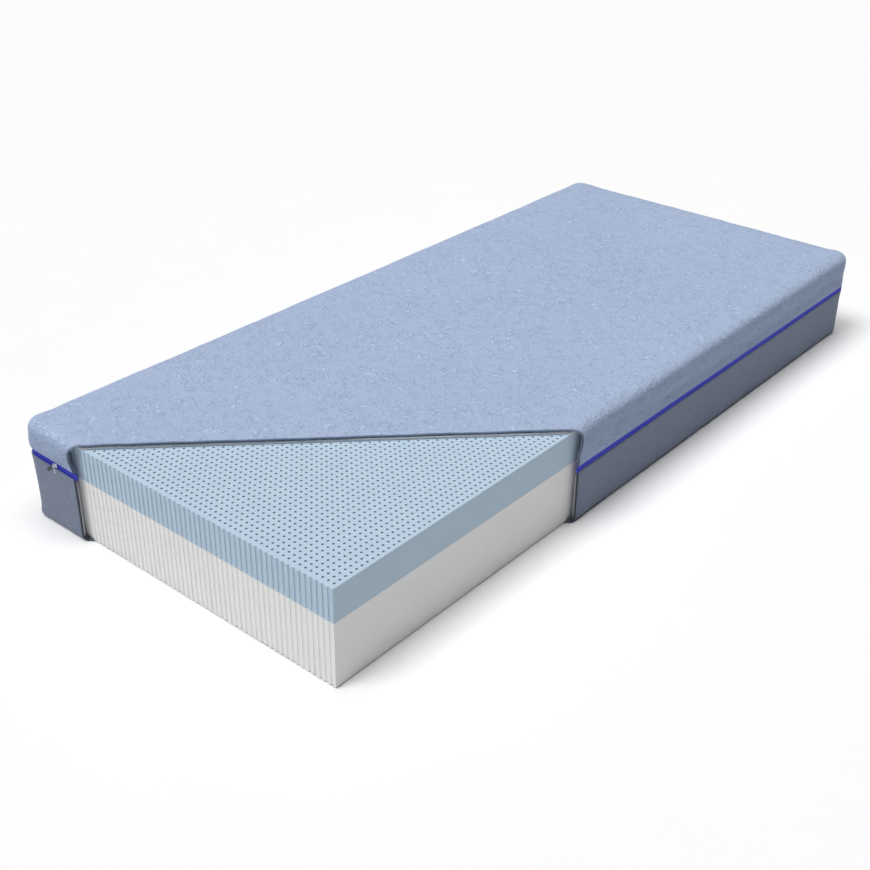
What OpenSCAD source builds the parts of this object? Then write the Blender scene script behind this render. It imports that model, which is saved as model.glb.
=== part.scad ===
// Foam mattress with a zipped two-part cover, cut away at one corner to show its foam layers.
// Millimetres. Origin at the centre of the underside, +Z up, +Y along the length.
// The foot end is at -Y and the cut-away corner is at +X, -Y.

/* [Mattress] */
// Width of the made-up mattress over its bulging borders
mattress_w = 900; // [800:10:1100]
// Length of the made-up mattress over its bulging borders
mattress_l = 2000; // [1600:10:2400]
// Height from the bed base to the sleeping surface
mattress_h = 228; // [190:2:280]

/* [Cover] */
// Radius of the cover's four upright corners, seen from above
corner_r = 40; // [30:1:60]
// Radius of the edge between the sleeping surface and the border
top_edge_r = 20; // [10:1:30]
// Radius of the edge between the border and the underside
bottom_edge_r = 10; // [6:1:20]
// How far the lower border and the zip sit inside the bulge of the upper border
side_inset = 4; // [3:0.5:8]
// How far below the top edge's curve the upper border starts to narrow
bulge_h = 18; // [8:1:24]
// Height over which the upper border narrows to the zip
taper_h = 30; // [6:1:32]
// Thickness of the knitted or woven outer fabric
face_t = 1; // [0.8:0.1:1.5]
// Thickness of the fibre fill behind the upper fabric
fill_t = 2.5; // [2:0.1:4]
// Thickness of the backing that closes the fill
backing_t = 0.5; // [0.4:0.1:1]
// Thickness of the panel under the foam
bottom_panel_t = 1.5; // [1:0.1:3]

/* [Cut-away corner] */
// Distance from the corner to the cut, along each side
cut_leg = 728; // [400:1:760]
// Width of the tape that binds the cut edge
binding_w = 3; // [2:0.5:6]
// How far the loose pad is cut back from the bound edge
pad_setback = 30; // [10:5:60]

/* [Foam] */
// Gap from the outside of the cover to the upright faces of the foam
foam_inset = 20; // [16:1:26]
// Height of the white foam core
core_h = 141; // [120:1:150]
// Height of the perforated memory foam layer
memory_h = 73; // [55:1:80]
// Thickness of the glue film between the two foams
glue_t = 0.4; // [0.2:0.1:1]
// Distance between neighbouring ventilation channels
channel_pitch = 13.7; // [10:0.1:25]
// Diameter of a ventilation channel
channel_d = 5.2; // [3:0.1:7]
// Distance from the +X face of the foam to the first row of channels
channel_margin = 10; // [6:0.5:14]
// How far inside the foot-end face the row of opened channels is centred
channel_open_depth = 1.3; // [0.5:0.1:2.2]

/* [Zip] */
// Height of the zip above the base, at the middle of the width
zip_z = 144; // [130:1:155]
// How much higher the zip runs at the -X side than at the middle
zip_rise = 14; // [0:1:16]
// Height of the band of zip that shows between the two halves of the cover
zip_band_h = 10; // [8:0.5:14]
// Height of tape that is sewn behind each border
zip_seam_h = 9; // [6:1:12]
// Thickness of the zip tape
tape_t = 0.8; // [0.5:0.1:1.2]
// Height of one side of the zip coil
coil_h = 1.7; // [1.2:0.1:2.5]
// How far the coil stands out from its tape
coil_t = 1.2; // [0.8:0.1:1.5]
// Gap between the closed halves of the zip
zip_gap = 0.6; // [0.6:0.1:1]

/* [Zip slider] */
// Place of the slider along the foot end, from the middle of the width
slider_x = -342; // [-370:1:-320]
// Length of the slider along the zip
slider_l = 14; // [12:0.5:16]
// Height of the slider across the zip
slider_h = 8.6; // [7:0.1:9]
// Thickness of the slider's outer plate
slider_t = 1.3; // [1:0.1:1.5]
// Distance between the two posts of the bridge that holds the pull
bridge_l = 7; // [6:0.5:9]
// Radius of each post of the bridge
post_r = 0.8; // [0.6:0.1:1]
// Thickness of the bar of the bridge
bridge_t = 1; // [0.8:0.1:1.2]
// Length of the pull from its post to its far end
pull_l = 27; // [18:1:32]
// Width of the pull at its far end
pull_w = 6; // [4:0.5:7]
// Thickness of the pull
pull_t = 1; // [0.8:0.1:1.2]
// Angle of the resting pull from straight down, towards -X
pull_lean = 47; // [0:1:80]
// Length of the ribbon that hangs from the bridge
ribbon_l = 26; // [15:1:35]
// Thickness of the ribbon
ribbon_t = 0.6; // [0.4:0.1:0.8]

/* [Hidden] */

clearance = 0.3;
big = 3000;
arc_step = 15;
fabric_t = face_t + fill_t + backing_t;
core_z = bottom_panel_t + clearance;
glue_z = core_z + core_h;
memory_z = glue_z + glue_t;
foam_top_z = memory_z + memory_h;
foam_w = mattress_w - 2 * foam_inset;
foam_l = mattress_l - 2 * foam_inset;
lower_r = corner_r - side_inset;
bulge_z = mattress_h - top_edge_r - bulge_h;
taper_z = bulge_z - taper_h;
zip_tilt = atan(2 * zip_rise / mattress_w);
cut_depth = cut_leg * sqrt(2) / 2;
tape_inset = side_inset + fabric_t;
channel_r = channel_d / 2;
channel_count = floor((foam_w - channel_margin - channel_r) / channel_pitch) + 1;

// The insets of the room inside the cover, at the zip and where each curved edge meets the foam.
zip_room = side_inset + fabric_t + tape_t;
bottom_room = side_inset + bottom_edge_r
    - sqrt(max(0, pow(bottom_edge_r - face_t, 2) - pow(bottom_edge_r - core_z, 2)));
top_room = top_edge_r - sqrt(max(0,
    pow(top_edge_r - fabric_t, 2) - pow(max(0, foam_top_z - mattress_h + top_edge_r), 2)));
foam_room = max(zip_room, bottom_room, top_room) + clearance;

// Depths of the slider's pieces, measured outwards from the zip tape.
plate_out = coil_t + clearance;
post_out = plate_out + slider_t;
wall_out = fabric_t;
ribbon_out = wall_out + clearance;
pull_out = ribbon_out + ribbon_t + clearance;
bar_out = pull_out + pull_t + 0.2;
pull_eye_r = post_r + 0.5;
pull_ring_r = pull_eye_r + 1;

cover_blue = [0.67, 0.74, 0.87];
border_grey = [0.42, 0.45, 0.52];
zip_blue = [0.13, 0.15, 0.55];
edge_navy = [0.16, 0.22, 0.31];

// A rectangle with round corners, centred on the origin.
module rounded_rect(w, l, r) {
    square([w - 2 * r, l], center = true);
    square([w, l - 2 * r], center = true);
    for (x = [-1, 1], y = [-1, 1])
        translate([x * (w / 2 - r), y * (l / 2 - r)]) circle(r = r, $fn = 64);
}

// The plan of the cover, drawn in from its widest outline.
module cover_plan(inset) {
    rounded_rect(mattress_w - 2 * inset, mattress_l - 2 * inset, corner_r - inset);
}

// Carries an outline round the cover: x is measured outwards from the centres of the corners.
module around_cover(outline) {
    straight_w = mattress_w - 2 * corner_r;
    straight_l = mattress_l - 2 * corner_r;
    for (turn = [0, 180]) rotate([0, 0, turn]) {
        translate([straight_w / 2, 0, 0]) rotate([90, 0, 0])
            linear_extrude(straight_l, center = true) polygon(outline);
        translate([0, straight_l / 2, 0]) rotate([0, 0, 90]) rotate([90, 0, 0])
            linear_extrude(straight_w, center = true) polygon(outline);
        translate([straight_w / 2, straight_l / 2, 0])
            rotate_extrude(angle = 90, $fn = 64) polygon(outline);
        translate([-straight_w / 2, straight_l / 2, 0]) rotate([0, 0, 90])
            rotate_extrude(angle = 90, $fn = 64) polygon(outline);
    }
}

// The outline of the upper cover at a depth below its outer face, from the zip to the top edge.
function upper_line(depth) = concat(
    [[lower_r - depth, 0], [lower_r - depth, taper_z], [corner_r - depth, bulge_z]],
    [for (a = [0:arc_step:90]) [
        corner_r - top_edge_r + (top_edge_r - depth) * cos(a),
        mattress_h - top_edge_r + (top_edge_r - depth) * sin(a)
    ]]
);

// The outline of the lower cover at a depth below its outer face, from the zip to the bottom edge.
function lower_line(depth) = concat(
    [[lower_r - depth, mattress_h]],
    [for (a = [0:arc_step:90]) [
        lower_r - bottom_edge_r + (bottom_edge_r - depth) * cos(a),
        bottom_edge_r - (bottom_edge_r - depth) * sin(a)
    ]]
);

function reversed(list) = [for (i = [len(list) - 1:-1:0]) list[i]];

// Keeps what lies between two heights, measured square to the plane of the zip.
module zip_slab(low, high) {
    intersection() {
        children();
        translate([0, 0, zip_z]) rotate([0, zip_tilt, 0])
            translate([-big / 2, -big / 2, low]) cube([big, big, high - low]);
    }
}

// Everything past the cut plane; a positive setback moves the plane back into the cover.
module cut_region(setback) {
    translate([mattress_w / 2, -mattress_l / 2, -big / 2]) rotate([0, 0, -45])
        translate([-cut_depth - setback, -big / 2, 0]) cube([big, big, big]);
}

module trim_corner(setback = 0) {
    difference() {
        children();
        cut_region(setback);
    }
}

// One layer of the upper cover between two depths below its outer face.
module upper_layer(outer, inner) {
    zip_slab(zip_band_h / 2, big / 2) {
        union() {
            around_cover(concat(upper_line(outer), reversed(upper_line(inner))));
            translate([0, 0, mattress_h - inner])
                linear_extrude(inner - outer) cover_plan(top_edge_r);
        }
    }
}

// One layer of the lower cover between two depths below its outer face.
module lower_layer(outer, inner) {
    zip_slab(-big / 2, -zip_band_h / 2)
        around_cover(concat(lower_line(outer), reversed(lower_line(inner))));
}

// The strip of a layer that lies within the binding's width of the cut.
module bound_strip() {
    intersection() {
        trim_corner() children();
        cut_region(binding_w);
    }
}

// An upright band that follows the borders, from one inset to a deeper one.
module band(outer, inner) {
    linear_extrude(mattress_h) difference() {
        cover_plan(outer);
        cover_plan(inner);
    }
}

module bottom_panel() {
    color(border_grey) trim_corner()
        linear_extrude(bottom_panel_t) cover_plan(side_inset + bottom_edge_r);
}

module lower_face() {
    color(border_grey) trim_corner(binding_w) lower_layer(0, face_t);
}

// The lining stops above the curve under the border, clear of the square corners of the foam.
module lower_lining() {
    color("gainsboro") trim_corner(binding_w) zip_slab(-big / 2, -zip_band_h / 2)
        translate([0, 0, bottom_edge_r]) band(side_inset + face_t, side_inset + fabric_t);
}

module lower_binding() {
    color(edge_navy) bound_strip() lower_layer(0, fabric_t);
}

module lower_zip_tape() {
    color(zip_blue) trim_corner()
        zip_slab(-zip_band_h / 2 - zip_seam_h, -zip_gap / 2)
            band(tape_inset, tape_inset + tape_t);
}

module lower_zip_coil() {
    color(zip_blue) trim_corner()
        zip_slab(-zip_gap / 2 - coil_h, -zip_gap / 2) band(tape_inset - coil_t, tape_inset);
}

// The opened channels that groove the foot-end face of the foam.
module channel_grooves() {
    for (i = [0:channel_count - 1])
        translate([
            foam_w / 2 - channel_margin - i * channel_pitch,
            -foam_l / 2 + channel_open_depth,
            -1
        ])
            cylinder(h = mattress_h + 2, r = channel_r, $fn = 24);
}

// A block of foam, cut to the round corners of the room inside the cover.
module foam_block(h) {
    intersection() {
        translate([-foam_w / 2, -foam_l / 2, 0]) cube([foam_w, foam_l, h]);
        linear_extrude(h) cover_plan(foam_room);
    }
}

module foam_core() {
    color("whitesmoke") difference() {
        translate([0, 0, core_z]) foam_block(core_h);
        channel_grooves();
    }
}

module glue_film() {
    color("ivory") difference() {
        translate([0, 0, glue_z]) foam_block(glue_t);
        channel_grooves();
    }
}

module memory_foam() {
    color([0.66, 0.8, 0.87]) difference() {
        translate([0, 0, memory_z]) foam_block(memory_h);
        channel_grooves();
    }
}

module upper_face() {
    color(cover_blue) trim_corner(binding_w) upper_layer(0, face_t);
}

module upper_fill() {
    color("white") trim_corner(binding_w) upper_layer(face_t, face_t + fill_t);
}

module upper_backing() {
    color("gainsboro") trim_corner(binding_w) upper_layer(face_t + fill_t, fabric_t);
}

module upper_binding() {
    color(edge_navy) bound_strip() upper_layer(0, fabric_t);
}

// The loose fibre pad that lies on the foam and carries the top of the cover.
module top_pad() {
    pad_z = foam_top_z + clearance;
    color("white") trim_corner(pad_setback)
        translate([0, 0, pad_z])
            linear_extrude(mattress_h - fabric_t - pad_z) cover_plan(foam_inset);
}

module upper_zip_tape() {
    color(zip_blue) trim_corner()
        zip_slab(zip_gap / 2, zip_band_h / 2 + zip_seam_h)
            band(tape_inset, tape_inset + tape_t);
}

module upper_zip_coil() {
    color(zip_blue) trim_corner()
        zip_slab(zip_gap / 2, zip_gap / 2 + coil_h) band(tape_inset - coil_t, tape_inset);
}

// Puts a piece on the foot-end zip: x along the zip, y up across it, z outwards from the tape.
module on_slider() {
    translate([0, 0, zip_z]) rotate([0, zip_tilt, 0])
        translate([slider_x, -mattress_l / 2 + tape_inset, 0]) rotate([90, 0, 0]) children();
}

// Two round-ended halves, wide at the mouth and narrow at the tail.
module slider_outline() {
    mouth_r = slider_h / 4;
    tail_r = slider_h / 3;
    for (side = [-1, 1])
        translate([slider_l / 2 - mouth_r, side * (slider_h / 2 - mouth_r)])
            circle(r = mouth_r, $fn = 32);
    translate([-slider_l / 2 + tail_r, 0]) circle(r = tail_r, $fn = 32);
    polygon([
        [slider_l / 2 - mouth_r, slider_h / 2],
        [-slider_l / 2 + tail_r, tail_r],
        [-slider_l / 2 + tail_r, -tail_r],
        [slider_l / 2 - mouth_r, -slider_h / 2]
    ]);
    translate([slider_l / 2 - 2 * mouth_r, -slider_h / 2 + mouth_r])
        square([2 * mouth_r, slider_h - 2 * mouth_r]);
}

module zip_slider_body() {
    color("silver") on_slider()
        translate([0, 0, plate_out]) linear_extrude(slider_t) slider_outline();
}

module zip_slider_bridge() {
    color("silver") on_slider() {
        for (side = [-1, 1])
            translate([side * bridge_l / 2, 0, post_out])
                cylinder(h = bar_out - post_out, r = post_r, $fn = 32);
        translate([0, 0, bar_out]) linear_extrude(bridge_t) {
            square([bridge_l, 2 * post_r], center = true);
            for (side = [-1, 1])
                translate([side * bridge_l / 2, 0]) circle(r = post_r, $fn = 32);
        }
    }
}

// A ribbon threaded behind the bar, gripped between the two posts.
module zip_ribbon() {
    ribbon_w = bridge_l - 2 * post_r;
    color("gainsboro") on_slider()
        translate([-ribbon_w / 2, -ribbon_l, ribbon_out])
            cube([ribbon_w, ribbon_l + post_r, ribbon_t]);
}

// The pull hangs by its eye on the post at the -X end of the bridge.
module zip_pull() {
    tip_r = pull_w / 2;
    color("dimgray") on_slider()
        translate([-bridge_l / 2, 0, pull_out]) rotate([0, 0, -90 - pull_lean]) difference() {
            union() {
                cylinder(h = pull_t, r = pull_ring_r, $fn = 32);
                linear_extrude(pull_t) polygon([
                    [0, pull_ring_r],
                    [pull_l - tip_r, tip_r],
                    [pull_l - tip_r, -tip_r],
                    [0, -pull_ring_r]
                ]);
                translate([pull_l - tip_r, 0, 0]) cylinder(h = pull_t, r = tip_r, $fn = 32);
            }
            translate([0, 0, -pull_t]) cylinder(h = 3 * pull_t, r = pull_eye_r, $fn = 32);
        }
}

bottom_panel();
lower_face();
lower_lining();
lower_binding();
lower_zip_tape();
lower_zip_coil();
foam_core();
glue_film();
memory_foam();
upper_face();
upper_fill();
upper_backing();
upper_binding();
top_pad();
upper_zip_tape();
upper_zip_coil();
zip_slider_body();
zip_slider_bridge();
zip_ribbon();
zip_pull();
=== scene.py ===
"""Looks of the foam mattress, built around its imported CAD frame.

Metres; the foot end is at -Y, the cut corner at +X, -Y.
"""
import contextlib
from math import atan, copysign, cos, hypot, pi, radians, sin, sqrt
import bmesh
import bpy
import numpy as np
from mathutils import Matrix, Vector


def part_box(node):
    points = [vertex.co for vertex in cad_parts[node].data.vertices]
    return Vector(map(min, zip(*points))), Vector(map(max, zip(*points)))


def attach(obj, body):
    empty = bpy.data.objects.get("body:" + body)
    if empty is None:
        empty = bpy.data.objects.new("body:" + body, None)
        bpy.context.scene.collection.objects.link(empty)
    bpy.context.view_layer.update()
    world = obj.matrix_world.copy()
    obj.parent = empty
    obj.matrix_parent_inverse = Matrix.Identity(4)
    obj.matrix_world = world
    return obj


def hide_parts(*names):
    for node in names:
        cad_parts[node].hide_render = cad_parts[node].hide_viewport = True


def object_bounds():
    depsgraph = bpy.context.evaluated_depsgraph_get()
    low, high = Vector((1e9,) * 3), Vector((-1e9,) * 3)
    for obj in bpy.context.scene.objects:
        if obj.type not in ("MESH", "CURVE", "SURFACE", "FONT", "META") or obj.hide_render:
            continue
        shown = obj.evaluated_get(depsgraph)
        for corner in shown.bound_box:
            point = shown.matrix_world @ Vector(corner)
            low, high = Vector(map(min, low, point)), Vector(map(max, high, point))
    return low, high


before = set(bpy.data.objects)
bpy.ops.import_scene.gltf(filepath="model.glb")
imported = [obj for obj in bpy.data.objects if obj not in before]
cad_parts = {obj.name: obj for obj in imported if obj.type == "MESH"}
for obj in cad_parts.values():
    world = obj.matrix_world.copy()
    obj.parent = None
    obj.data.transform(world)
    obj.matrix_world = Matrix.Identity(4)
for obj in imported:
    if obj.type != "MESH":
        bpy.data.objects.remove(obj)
scene = bpy.context.scene
cad_low, cad_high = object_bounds()

# ---- sizes shared by the pieces
W, L, H = (cad_high[i] - cad_low[i] for i in range(3))
CORNER_R = 0.040
TOP_EDGE_R = 0.020
BOTTOM_EDGE_R = 0.010
SIDE_INSET = 0.004
FABRIC_T = 0.004
BULGE_Z = H - TOP_EDGE_R - 0.018
TAPER_Z = BULGE_Z - 0.030
ZIP_Z = 0.144
ZIP_SLOPE = 0.014 / 0.450
ZIP_TILT = atan(ZIP_SLOPE)
ZIP_HALF = 0.005 / cos(ZIP_TILT)
CUT_LEG = 0.728
CUT = W / 2 + L / 2 - CUT_LEG            # the cut is the upright plane x - y = CUT
WALL_EDGE = CORNER_R - SIDE_INSET - TOP_EDGE_R    # the upright side, out from the plan grid
FACE_SETBACK = 0.0028                     # how far the face fabrics end short of the cut
LAYER_SETBACK = 0.0031                    # the same for the layers behind them
BINDING_SETBACK = 0.0015
CHANNEL_PITCH = 0.0137
CHANNEL_COLUMNS, CHANNEL_ROWS = 62, 142
CHANNEL_R = 0.0026
MOUTH_R = 0.0028                          # the foam draws back a little round each hole
TOOTH_PITCH = 0.0017
QUARTER_TURN = np.linspace(0, pi / 2, 5)[1:]
CLOTH_FRAMES = 20


def smooth(t):
    t = np.clip(t, 0, 1)
    return t * t * (3 - 2 * t)


# ---- mesh helpers
def new_object(name, data):
    ob = bpy.data.objects.new(name, data)
    scene.collection.objects.link(ob)
    return ob


def mesh_object(name, points, faces, material=None):
    mesh = bpy.data.meshes.new(name)
    mesh.from_pydata([tuple(p) for p in points], [], faces)
    mesh.polygons.foreach_set("use_smooth", [True] * len(mesh.polygons))
    mesh.update()
    if material:
        mesh.materials.append(material)
    return new_object(name, mesh)


def set_material(ob, material):
    ob.data.materials.clear()
    ob.data.materials.append(material)


def between(a, b):
    """The quads between two closed rings of vertex numbers."""
    return list(zip(a, [*a[1:], a[0]], [*b[1:], b[0]], b))


def tube_side(rings):
    return [quad for a, b in zip(rings, rings[1:]) for quad in between(a, b)]


def closed_tube(rings):
    """The faces of a tube through a row of rings, with both ends capped."""
    return tube_side(rings) + [tuple(rings[0])[::-1], tuple(rings[-1])]


def read(source, key):
    values = np.empty(len(source) * 3, np.float32)
    source.foreach_get(key, values)
    return values.reshape(-1, 3).astype(float)


def points_of(ob):
    return read(ob.data.vertices, "co")


def normals_of(ob):
    return read(ob.data.vertex_normals, "vector")


def set_points(ob, co):
    ob.data.vertices.foreach_set("co", np.asarray(co, np.float32).ravel())
    ob.data.update()


def unit(v):
    return v / np.linalg.norm(v, axis=1)[:, None]


def around(x, y, r, angles):
    return [(x + r * cos(a), y + r * sin(a)) for a in angles]


@contextlib.contextmanager
def editing(ob):
    """An object's mesh as a bmesh, written back at the end."""
    bm = bmesh.new()
    bm.from_mesh(ob.data)
    yield bm
    bm.to_mesh(ob.data)
    bm.free()
    ob.data.update()


def parted(geom):
    """The vertices and the edges among what a bmesh operator returns."""
    return [[g for g in geom if isinstance(g, kind)] for kind in (bmesh.types.BMVert, bmesh.types.BMEdge)]


def slice_at_cut(bm, setback, **clear):
    """Slices a bmesh at the cut, moved back into the cover by setback; returns what lies on the plane."""
    d = (CUT - setback * sqrt(2)) / 2
    return bmesh.ops.bisect_plane(bm, geom=bm.verts[:] + bm.edges[:] + bm.faces[:], dist=2e-5,
                                  plane_co=(d, -d, 0), plane_no=(1, -1, 0), **clear)["geom_cut"]


def cut_away(ob, setback):
    with editing(ob) as bm:
        slice_at_cut(bm, setback, clear_outer=True)


def weld(ob, distance=1e-5):
    with editing(ob) as bm:
        bmesh.ops.remove_doubles(bm, verts=bm.verts[:], dist=distance)
        bmesh.ops.recalc_face_normals(bm, faces=bm.faces[:])


def apply_modifiers(ob):
    dg = bpy.context.evaluated_depsgraph_get()
    mesh = bpy.data.meshes.new_from_object(ob.evaluated_get(dg), depsgraph=dg)
    ob.modifiers.clear()
    old = ob.data
    ob.data = mesh
    bpy.data.meshes.remove(old)


def subdivide(ob):
    m = ob.modifiers.new("sub", "SUBSURF")
    m.levels = m.render_levels = 1
    m.boundary_smooth = "PRESERVE_CORNERS"
    apply_modifiers(ob)


def thicken(ob, thickness, offset=-1):
    """Gives a skin a thickness: inwards, or outwards where offset is 1."""
    m = ob.modifiers.new("solid", "SOLIDIFY")
    m.thickness = thickness
    m.offset = offset
    apply_modifiers(ob)


# ---- smooth seeded noise on points
HASH_PRIMES = np.array([73856093, 19349663, 83492791])


def value_noise(points, scale, seed):
    """Smooth noise in -1..1 at points divided by scale, from a seeded lattice."""
    r = np.random.default_rng(seed)
    table = r.uniform(-1, 1, 4096)
    p = points / scale + r.uniform(0, 50, 3)
    cell = np.floor(p).astype(np.int64)
    t = smooth(p - cell)
    total = np.zeros(len(points))
    for corner in np.ndindex(2, 2, 2):
        key = (cell + corner) * HASH_PRIMES
        i = (key[:, 0] ^ key[:, 1] ^ key[:, 2]) % 4096
        w = np.where(corner, t, 1 - t)
        total += table[i] * (w[:, 0] * w[:, 1] * w[:, 2])
    return total


def undulation(points, scale, seed, octaves=2):
    total, weight = np.zeros(len(points)), 0.0
    for k in range(octaves):
        a = 0.5 ** k
        total += a * value_noise(points, scale * a, seed + 17 * k)
        weight += a
    return total / weight


# ---- node helpers
class Nodes:
    """A small builder for node materials."""

    def __init__(self, name):
        self.material = bpy.data.materials.new(name)
        self.material.use_nodes = True
        self.tree = self.material.node_tree
        self.tree.nodes.clear()
        out = self.tree.nodes.new("ShaderNodeOutputMaterial")
        self.bsdf = self.tree.nodes.new("ShaderNodeBsdfPrincipled")
        self.link(self.bsdf.outputs[0], out.inputs[0])
        self.coord = self.node("TexCoord", "Object")

    def link(self, a, b):
        self.tree.links.new(a, b)

    def put(self, socket, value):
        if isinstance(value, bpy.types.NodeSocket):
            self.link(value, socket)
        elif value is not None:
            socket.default_value = value

    def node(self, kind, out=0, **values):
        """Adds a node and returns an output; values are inputs (capital letter) or options of the node."""
        n = self.tree.nodes.new("ShaderNode" + kind)
        for key, v in values.items():
            if key[0].isupper():
                self.put(n.inputs[key.replace("_", " ")], v)
            else:
                setattr(n, key, v)
        return n.outputs[out]

    def scaled(self, scale, location=(0, 0, 0)):
        return self.node("Mapping", Vector=self.coord, Scale=scale, Location=location)

    def noise(self, scale, detail=2.0, rough=0.5, distortion=0.0, vector=None):
        return self.node("TexNoise", "Fac", Vector=vector or self.coord, Scale=scale, Detail=detail,
                         Roughness=rough, Distortion=distortion)

    def voronoi(self, scale):
        return self.node("TexVoronoi", "Distance", Vector=self.coord, Scale=scale)

    def wave(self, pitch, direction, distortion, detail_scale=2.0):
        return self.node("TexWave", "Fac", bands_direction=direction, Vector=self.coord, Scale=1 / pitch / 2,
                         Distortion=distortion, Detail=1.0, Detail_Scale=detail_scale)

    def math(self, op, a, b=None):
        n = self.tree.nodes.new("ShaderNodeMath")
        n.operation = op
        self.put(n.inputs[0], a)
        self.put(n.inputs[1], b)
        return n.outputs[0]

    def times(self, a, b):
        return self.math("MULTIPLY", a, b)

    def span(self, value, low, high, to_low=0.0, to_high=1.0):
        return self.node("MapRange", interpolation_type="SMOOTHSTEP", Value=value, From_Min=low,
                         From_Max=high, To_Min=to_low, To_Max=to_high)

    def mix(self, factor, a, b):
        n = self.tree.nodes.new("ShaderNodeMix")
        n.data_type = "RGBA"
        self.put(n.inputs["Factor"], factor)
        for key, v in ((6, a), (7, b)):
            self.put(n.inputs[key], rgba(v) if isinstance(v, tuple) else v)
        return n.outputs[2]

    def height(self):
        return self.node("SeparateXYZ", "Z", Vector=self.coord)

    def bump(self, height, distance, strength=1.0, under=None):
        return self.node("Bump", Strength=strength, Distance=distance, Height=height, Normal=under)

    def finish(self, color, roughness, normal=None, sheen=0.0, sheen_tint=(1, 1, 1), metallic=0.0,
               specular=0.5):
        for key, v in (("Base Color", color), ("Roughness", roughness), ("Metallic", metallic),
                       ("Normal", normal), ("Specular IOR Level", specular), ("Sheen Weight", sheen),
                       ("Sheen Roughness", 0.5), ("Sheen Tint", rgba(sheen_tint))):
            self.put(self.bsdf.inputs[key], v)
        return self.material


def rgba(c):
    return (*c, 1.0)


def srgb(r, g, b):
    """A colour given as 0-255 display values, in linear light."""
    shown = (v / 255 for v in (r, g, b))
    return tuple(v / 12.92 if v <= 0.04045 else ((v + 0.055) / 1.055) ** 2.4 for v in shown)


def shade(c, *k):
    """A colour times one factor, or times one for each of red, green and blue."""
    return tuple(min(1.0, v * f) for v, f in zip(c, k if len(k) > 1 else k * 3))


# ---- materials
KNIT = srgb(175, 191, 220)


def make_knit():
    m = Nodes("knit_blue")

    def strokes(scale, width, breaker, seed):
        """The raised crinkles, and a band beside them that is only darkened as painted shade: broken pieces
        of the contour lines of slow noise.
        """
        away = m.scaled((1, 1, 1), (seed, seed * 0.7, seed * 0.3))
        n = m.math("ABSOLUTE", m.math("SUBTRACT", m.noise(scale, 2.0, 0.55, 0.35, vector=away), 0.5))
        broken = m.span(m.noise(breaker, 2.0, 0.6, vector=away), 0.50, 0.57)
        ridge = m.times(m.span(n, 0.0, width, 1.0, 0.0), broken)
        # foot marks a band beside each crinkle that is not raised; it only carries painted shade
        rise, fall = m.span(n, width * 0.5, width * 1.3), m.span(n, width * 1.3, width * 2.6, 1.0, 0.0)
        foot = m.times(m.times(rise, fall), broken)
        return ridge, foot

    ridge_a, dip_shade_a = strokes(40, 0.070, 46, 0.0)
    ridge_b, dip_shade_b = strokes(62, 0.085, 38, 3.1)
    patch = m.span(m.noise(9, 2.0), 0.38, 0.62, 0.72, 1.0)
    ridge = m.times(m.math("MAXIMUM", ridge_a, m.times(ridge_b, 0.75)), patch)
    foot = m.times(m.math("MAXIMUM", dip_shade_a, m.times(dip_shade_b, 0.7)), patch)
    # the knit itself: loops in rows
    rows = m.wave(0.0024, "X", 0.6)
    loops = m.wave(0.0019, "Y", 0.8)
    side = m.wave(0.0019, "Z", 0.8)
    knit = m.times(rows, m.math("MAXIMUM", loops, m.times(side, 0.7)))
    normal = m.bump(ridge, 0.0019, 1.0)
    normal = m.bump(knit, 0.00025, 0.4, normal)
    # painted highlight: the crinkles are lightened in colour as if lit from above, on top of their bump
    tone = m.mix(m.span(ridge, 0.1, 0.9, 0.0, 0.85), KNIT, shade(KNIT, 1.28))
    # painted shade: the band beside each crinkle is darkened, as if in the crinkle's shadow
    tone = m.mix(m.span(foot, 0.1, 0.9, 0.0, 0.36), tone, shade(KNIT, 0.74, 0.77, 0.86))
    tone = m.mix(m.span(m.noise(3.2, 3.0), 0.3, 0.7, 0.0, 0.22), tone, shade(KNIT, 0.90))
    tone = m.mix(m.span(knit, 0.0, 0.9, 0.12, 0.0), tone, shade(KNIT, 0.62))
    # painted shade: the knit is darkened from the top's edge down over the border, standing in for the lesser
    # light on the upright sides
    tone = m.mix(m.span(m.height(), 0.205, 0.226, 0.52, 0.0), tone, shade(KNIT, 0.53, 0.58, 0.66))
    return m.finish(tone, m.span(ridge, 0, 1, 0.95, 0.75), normal, sheen=0.12, sheen_tint=(0.9, 0.94, 1.0),
                    specular=0.2)


def make_woven(name, base, other, pitch, sheen=0.1):
    m = Nodes(name)
    a = m.wave(pitch, "DIAGONAL", 0.4, 3.0)
    b = m.wave(pitch, "Z", 0.5, 3.0)
    weave = m.times(a, b)
    slub = m.noise(1.0, 3.0, 0.6, vector=m.scaled((60, 60, 420)))
    tone = m.mix(m.span(weave, 0.1, 0.8), other, base)
    tone = m.mix(m.span(slub, 0.35, 0.7, 0.0, 0.35), tone, shade(base, 1.25))
    tone = m.mix(m.span(m.noise(6, 3.0), 0.3, 0.7, 0.0, 0.25), tone, shade(base, 0.85))
    normal = m.bump(weave, pitch * 0.25, 0.55)
    normal = m.bump(m.noise(38, 3.0), 0.0012, 0.35, normal)
    return m.finish(tone, 0.9, normal, sheen=sheen, sheen_tint=(0.85, 0.88, 0.95), specular=0.2)


def make_foam(name, base, deep, cell):
    m = Nodes(name)
    cells = m.voronoi(1 / cell)
    big_cells = m.voronoi(1 / (cell * 3.1))
    mottle = m.noise(14, 4.0, 0.6)
    tone = m.mix(m.span(cells, 0.15, 0.75, 0.0, 0.30), base, deep)
    tone = m.mix(m.span(mottle, 0.35, 0.7, 0.0, 0.16), tone, deep)
    tone = m.mix(m.span(big_cells, 0.0, 0.12, 0.35, 0.0), tone, deep)
    normal = m.bump(cells, cell * 0.35, 0.45)
    normal = m.bump(m.noise(22, 2.0), 0.0008, 0.30, normal)
    return m.finish(tone, 0.92, normal, sheen=0.12, specular=0.15)


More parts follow.
